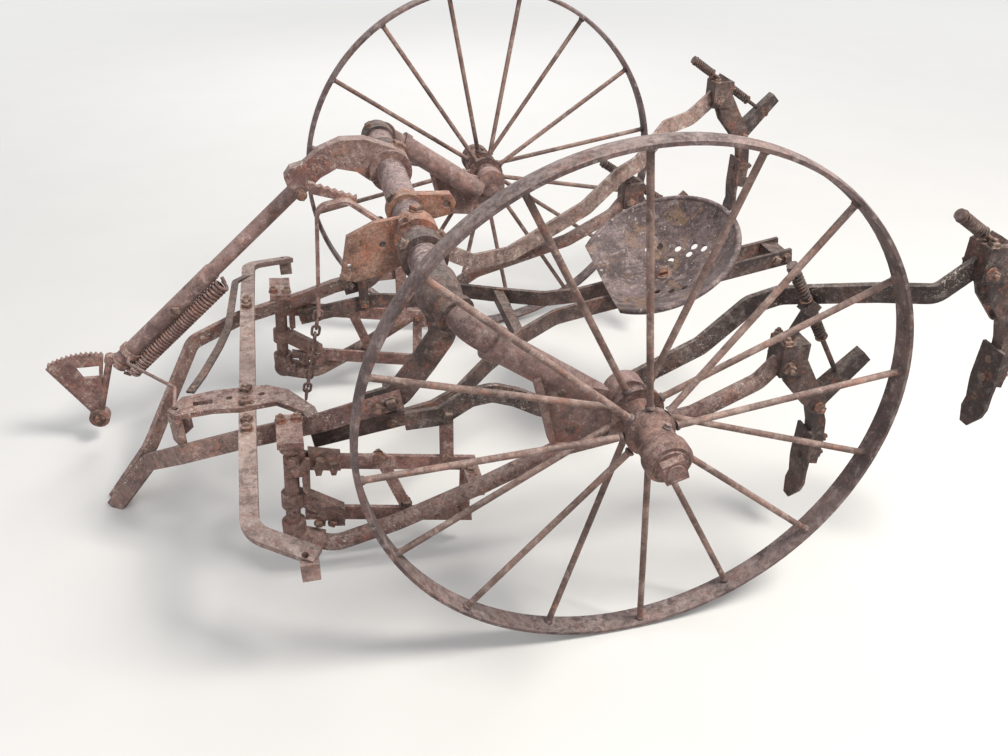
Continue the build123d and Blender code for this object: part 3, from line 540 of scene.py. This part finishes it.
# Lift tube and the long tension spring under it
TUBE_TOP = spot(-540, 274, 698)
TUBE_LOW = spot(-1073, 274, 246)
TUBE_RADIUS = 22.0
LONG_COIL, LONG_WIRE, LONG_TURNS = 21.0, 4.6, 36
SPRING_START = 0.354         # metres down from the tube's top
SPRING_PAST = 0.010          # metres beyond the tube's foot
SPRING_GAP = 0.3


def lift_spring():
    """Close-coiled spring, its wire bent in at both ends."""
    way = (TUBE_LOW - TUBE_TOP).normalized()
    below = Vector((-way.z, 0, way.x)) * ((TUBE_RADIUS + LONG_COIL + SPRING_GAP) / 1000)
    top = TUBE_TOP + way * SPRING_START + below
    low = TUBE_LOW + way * SPRING_PAST + below
    coil_line = LONG_COIL - LONG_WIRE
    out = cross_axes(low - top)[0]
    spring = Form()
    spring.coil(top, low, coil_line, LONG_WIRE, LONG_TURNS, per_turn=18, sides=8)
    for end, run in ((top, -way), (low, way)):
        rim = end + out * (coil_line / 1000)
        bend = [rim, rim + run * 0.004 - out * 0.008, end + run * 0.008 - out * 0.002,
                end + run * 0.014 - below * 0.35]
        spring.tube(bend, LONG_WIRE)
    spring.piece("lift_spring_coil", "rusted_bar", "frame", "rusted_bar", "lift_spring")


# Trip sets: the middle of the clamp by x, y, z, then from there the rod's top by x, z and its foot
# by x, z, and the guide's place along the rod with half the gap between the springs
TRIP_SETS = {
    "left": [(408, 479, 506, -31, 206, 142, -96, 118, 22), (720, 606, 750, -97, 97, 166, -82, 122, 44)],
    "right": [(408, 479, 506, -97, 97, 166, -82, 122, 44), (720, 606, 750, -97, 97, 166, -82, 122, 44)],
}
COIL, WIRE, WIRE_GAP = 13.0, 2.7, 0.2
COIL_START, REAR_COIL = 10.0, 66.0           # start of the front spring, length of the rear one
FRONT_TURNS, REAR_TURNS = 9, 7
FRONT_WASHER, REAR_WASHER, WASHER_RADIUS = 1.6, 1.8, 13.6
ROD_NUT = 0.012              # metres up from the rod's foot

# Fasteners of one trip set, from the middle of its clamp
TRIP_BOLTS = [
    (-19, -21, 31.6, (0, 0, 1), "nut", 17, 10),
    (-19, 21, 31.6, (0, 0, 1), "nut", 17, 38),
    (-12, -31, -22, (0, -1, 0), "head", 20, 15),
    (-12, 31, -22, (0, 1, 0), "nut", 20, 15),
    (86, -28, -140, (0, -1, 0), "head", 19, 30),
    (86, 28, -140, (0, 1, 0), "nut", 19, 5),
    (80.4, 0, -244, (-1, 0, 0), "rivet", 17, 0),
    (80.4, 0, -288, (-1, 0, 0), "rivet", 17, 0),
    (125.6, 0, -246, (1, 0, 0), "nut", 18, 20),
    (122.8, 0, -290, (1, 0, 0), "nut", 18, 50),
]

# Fasteners of one gang, mirrored
GANG_BOLTS = [
    (-464, 357, 289, (0, 1, 0), "head", 18, 12),
    (-412, 357, 148, (0, 1, 0), "head", 18, 44),
    (-281, 357, 102, (0, 1, 0), "head", 18, 30),
    (-272, 357, 229, (0, 1, 0), "head", 18, 8),
    (-314, 357, 262, (0, 1, 0), "head", 16, 8),
    (-464, 347, 289, (0, -1, 0), "nut", 16, 20),
    (-412, 347, 148, (0, -1, 0), "nut", 16, 35),
    (-281, 347, 102, (0, -1, 0), "nut", 16, 5),
    (-272, 347, 229, (0, -1, 0), "nut", 16, 50),
    (-312, 368, 384, (0, 1, 0), "head", 18, 25),
    (-262, 372, 228.8, (0, 0, 1), "nut", 17, 15),
]

# Bolts through the head casting in the gang's leaning frame: along, rise, size, spin
HEAD_BOLTS = [
    (58, -36, 18, 20), (88, -46, 18, 50), (96, -184, 17, 10), (54, -206, 15, 40), (84, -208, 15, 15),
]
HEAD_OUTER, HEAD_INNER = 0.0012, 0.0248      # metres inwards to the casting's two faces

# The leaning frame starts at the foot of the frame's stub, on which the coupling turns
PIN = (-646, 365, 346)
PIN_LEAN = math.radians(5)
LIFT_PIN_END, LIFT_PIN_Z = 0.0268, -0.017    # end of the coupling's cross pin
LIFT_PIN_HEAD = [(-9, 13.5), (-6.6, 13.5), (-6.2, 12.5)]
STUB_NUTS = [(-17, 58), (17, 62)]
STUB_NUT_Z = 0.036


def trip_set(coils, bits, row, side):
    """The two springs of a trip rod with their end washers, and the bolts of its clamp."""
    x, y, z, top_x, top_z, low_x, low_z, guide, gap = row
    centre = spot(x, side * y, z)
    top = centre + Vector((top_x, 0, top_z)) / 1000
    low = centre + Vector((low_x, 0, low_z)) / 1000
    way = (low - top).normalized()
    edge = WIRE + WIRE_GAP
    spans = [(COIL_START, guide - gap, FRONT_TURNS), (guide + gap, guide + gap + REAR_COIL, REAR_TURNS)]
    for start, end, turns in spans:
        first = top + way * ((start + edge) / 1000)
        last = top + way * ((end - edge) / 1000)
        coils.coil(first, last, COIL - WIRE, WIRE, turns)
        for place, thick in ((start - FRONT_WASHER, FRONT_WASHER), (end, REAR_WASHER)):
            disc = [(0, WASHER_RADIUS), (thick, WASHER_RADIUS)]
            bits.turned(top + way * (place / 1000), way, disc, sides=18)
    bits.nut(low - way * ROD_NUT, way, size=20, spin=15)
    fasten(bits, [(x + dx, y + dy, z + dz, *rest) for dx, dy, dz, *rest in TRIP_BOLTS], side)


def gang_trim(name, side):
    """Springs and bolts of a gang, the pins of its coupling and the nuts of the frame's stub."""
    coils = Form()
    bits = Form()
    for row in TRIP_SETS[name]:
        trip_set(coils, bits, row, side)
    coils.piece("trip_coils_" + name, "sooty_iron", "gang_" + name, "sooty_iron", "trip_springs_" + name)
    fasten(bits, GANG_BOLTS, side)
    lean = Matrix.Translation(spot(PIN[0], side * PIN[1], PIN[2])) @ Matrix.Rotation(PIN_LEAN, 4, "Y")
    for along, rise, size, spin in HEAD_BOLTS:
        outer = lean @ Vector((along / 1000, -side * HEAD_OUTER, rise / 1000))
        inner = lean @ Vector((along / 1000, -side * HEAD_INNER, rise / 1000))
        bits.head(outer, Vector((0, side, 0)), size, spin)
        bits.nut(inner, Vector((0, -side, 0)), size - 2, spin + 20)
    bits.piece("gang_bolts_" + name, "bolt_rust", "gang_" + name, "rusted_casting")

    pins = Form()
    for hand in (-1, 1):
        out = Vector((0, hand, 0))
        end = lean @ Vector((0, hand * LIFT_PIN_END, LIFT_PIN_Z))
        pins.turned(end, out, LIFT_PIN_HEAD, sides=20)
        pins.cotter(end - out * 0.003, out, Vector((0.3, 0, 0.95)), reach=9.5)
    pins.piece("knuckle_pins_" + name, "bolt_rust", "coupling_" + name, "rusted_casting")

    stub = Form()
    for x, y in STUB_NUTS:
        base = lean @ Vector((x / 1000, -side * y / 1000, STUB_NUT_Z))
        stub.nut(base, lean.to_3x3() @ Vector((0, 0, 1)), size=18, spin=x * 2)
    stub.piece("stub_nuts_" + name, "bolt_rust", "frame", "rusted_casting")


# Wheels: spokes run by turns from the hub's two flanges to either side of the rim's middle plane
SPOKES = 16
SPOKE_PHASE = {"left": 4.0, "right": 10.0}   # degrees of the first spoke
FLANGE_RADIUS, FLANGE_HALF = 48.0, 33.0
RIM_INSIDE, RIM_STAGGER = 521.0, 6.0
RIM_COLLAR = [(-7, 6.7), (-6, 8.2), (-1, 9.2), (0.4, 9.4)]
HUB_COLLAR = [(3.6, 9.6), (7, 9.2), (10, 6.8)]
RIM_JOINT, JOINT_RIVETS, RIVET_SINK = 248, (-11, 11), 0.8
OIL_PLUG = [(-2, 8), (3, 8), (4, 6.6), (9, 6.4), (10, 4)]
OIL_PLUG_Y, OIL_PLUG_REACH = 78, 0.038


def wheel_trim(name, side):
    """Collars at both ends of the spokes, the rivets of the rim's joint, and the hub's oil plug."""
    trim = Form()
    for index in range(SPOKES):
        hand = -1 if index % 2 else 1
        radial = around(SPOKE_PHASE[name] + index * 360 / SPOKES)
        hub_end = spot(0, side * (HALF_TRACK + hand * FLANGE_HALF), WHEEL_RADIUS)
        hub_end += radial * (FLANGE_RADIUS / 1000)
        rim_end = spot(0, side * (HALF_TRACK + hand * RIM_STAGGER), WHEEL_RADIUS)
        rim_end += radial * (WHEEL_RADIUS / 1000)
        spoke = rim_end - hub_end
        at_rim = hub_end + spoke * ((RIM_INSIDE - FLANGE_RADIUS) / (WHEEL_RADIUS - FLANGE_RADIUS))
        trim.turned(at_rim, spoke, RIM_COLLAR, sides=12)
        trim.turned(hub_end, spoke, HUB_COLLAR, sides=12)
    radial = around(RIM_JOINT)
    for offset in JOINT_RIVETS:
        place = spot(0, side * (HALF_TRACK + offset), WHEEL_RADIUS)
        place += radial * ((RIM_INSIDE - RIVET_SINK) / 1000)
        trim.rivet(place, -radial, size=13)
    plug_way = Vector((0.3, 0, 0.95)).normalized()
    plug = spot(0, side * (HALF_TRACK + OIL_PLUG_Y), WHEEL_RADIUS) + plug_way * OIL_PLUG_REACH
    trim.turned(plug, plug_way, OIL_PLUG, sides=14)
    trim.piece("wheel_trim_" + name, "wheel_iron", "wheel_" + name, "wheel_iron")


frame_bolts()
seat_bolt()
lift_spring()
for name, side in SIDES.items():
    gang_trim(name, side)
for name, side in SIDES.items():
    wheel_trim(name, side)


def background_rays(tree):
    """1 for the rays that show the background: the camera's, and those by way of gloss or glass."""
    camera_ray = tree.node("ShaderNodeLightPath", "Is Camera Ray")
    gloss_ray = tree.node("ShaderNodeLightPath", "Is Glossy Ray")
    glass_ray = tree.node("ShaderNodeLightPath", "Is Transmission Ray")
    return tree.calc("MAXIMUM", tree.calc("MAXIMUM", camera_ray, gloss_ray), glass_ray)


# Floor: its two tones, and what it gives off near and far, which evens out the lamps' falling off
FLOOR_TONES = tone(194, 192, 189), tone(200, 198, 195)
GLOW_NEAR, GLOW_FAR = (0.07, 0.07, 0.069, 1.0), (0.5, 0.5, 0.495, 1.0)
NEAR, FAR = 1.4, 7.5         # metres from the frame's origin
NO_GLOW = (0.0, 0.0, 0.0, 1.0)


def pale_floor():
    """Plain floor that stays pale out to the horizon."""
    bpy.ops.mesh.primitive_plane_add(size=60, location=(0, 0, 0))
    floor = bpy.context.object
    floor.name = "floor"
    tree = Tree(bpy.data.materials.new("floor_pale"))
    cloud = tree.noise(tree.place(), 3.0, detail=3.0, rough=0.5)
    colour = tree.mix(cloud, *FLOOR_TONES)
    far = tree.fit(tree.vector("LENGTH", tree.place(), out=1), NEAR, FAR)
    glow = tree.mix(background_rays(tree), NO_GLOW, tree.mix(far, GLOW_NEAR, GLOW_FAR))
    floor.data.materials.append(tree.finish(colour, 0.9, cloud, depth=0.0001, glow=glow))


SOFT_LIGHT = {"Color": (0.92, 0.95, 1.0, 1.0), "Strength": 0.48}
BACKDROP = {"Color": (0.8, 0.8, 0.79, 1.0), "Strength": 1.0}


def soft_world():
    """Soft light from all round, and a pale backdrop for the camera and for gloss."""
    world = bpy.data.worlds.new("studio")
    bpy.context.scene.world = world
    tree = Tree(world)
    soft = tree.node("ShaderNodeBackground", 0, None, SOFT_LIGHT)
    pale = tree.node("ShaderNodeBackground", 0, None, BACKDROP)
    both = tree.node("ShaderNodeMixShader", 0, None, {0: background_rays(tree), 1: soft, 2: pale})
    tree.node("ShaderNodeOutputWorld", None, None, {"Surface": both})


# Square lamps: place, height of the target over the origin, side in metres, power in watts, colour
LAMPS = {
    "key": ((2.2, -1.8, 4.4), 0.4, 1.4, 320, (1.0, 0.97, 0.92)),
    "fill": ((-3.6, -2.6, 2.6), 0.4, 3.0, 70, (0.93, 0.96, 1.0)),
    "back": ((0.5, 4.0, 3.2), 0.5, 2.5, 90, (1.0, 1.0, 1.0)),
}


def lamp(name, place, height, size, power, colour):
    """Square lamp that looks at a point over the origin."""
    light = bpy.data.lights.new(name, "AREA")
    light.size = size
    light.energy = power
    light.color = colour
    made = bpy.data.objects.new(name, light)
    bpy.context.collection.objects.link(made)
    made.location = place
    made.rotation_euler = (Vector((0, 0, height)) - Vector(place)).to_track_quat("-Z", "Y").to_euler()


# Camera at the photograph's viewing angle: its place in metres, and its ways ahead and right
EYE = (-0.5627 + AXLE, -1.9312, 1.4918)
AHEAD = Vector((0.1967, 0.8181, -0.5405)).normalized()
RIGHT = Vector((0.9723, -0.2338, 0.0)).normalized()
SENSOR_WIDTH, FOCAL_LENGTH = 36.0, 32.14


def camera():
    """Camera of the scene, which looks along AHEAD."""
    lens = bpy.data.cameras.new("camera")
    lens.sensor_width = SENSOR_WIDTH
    lens.lens = FOCAL_LENGTH
    lens.clip_start = 0.05
    made = bpy.data.objects.new("camera", lens)
    bpy.context.collection.objects.link(made)
    made.location = EYE
    made.rotation_euler = Matrix((RIGHT, RIGHT.cross(AHEAD), -AHEAD)).transposed().to_euler()
    bpy.context.scene.camera = made


pale_floor()
soft_world()
for name, row in LAMPS.items():
    lamp(name, *row)
camera()
bpy.context.scene.view_settings.view_transform = "Standard"
